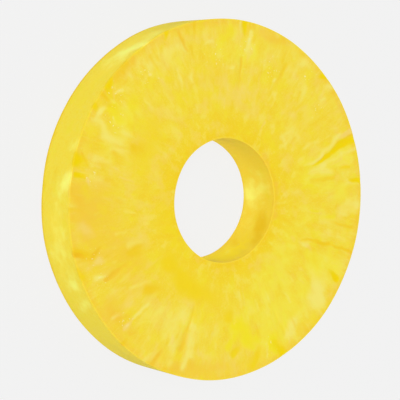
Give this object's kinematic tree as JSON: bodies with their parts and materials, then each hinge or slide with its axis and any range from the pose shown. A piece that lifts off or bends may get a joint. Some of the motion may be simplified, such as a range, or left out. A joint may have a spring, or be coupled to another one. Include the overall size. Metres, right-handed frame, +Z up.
{
  "type": "pineapple ring",
  "caption": "Flat round slice of ripe pineapple with its core punched out, showing radial flesh fibres and shallow furrows in the upper face.",
  "frame": {"origin": "on the hole's axis at the underside, which lies on the table", "axes": "+Z up along the hole's axis, out of the shown cut face; +X and +Y lie in the cut face, with +X set about ten degrees past the rim's long fine furrow"},
  "size_m": [0.0841, 0.084, 0.012],
  "materials": {
    "pineapple_flesh": "moist satin"
  },
  "bodies": {
    "root": {"pineapple_ring": "pineapple_flesh"}
  },
  "joints": []
}
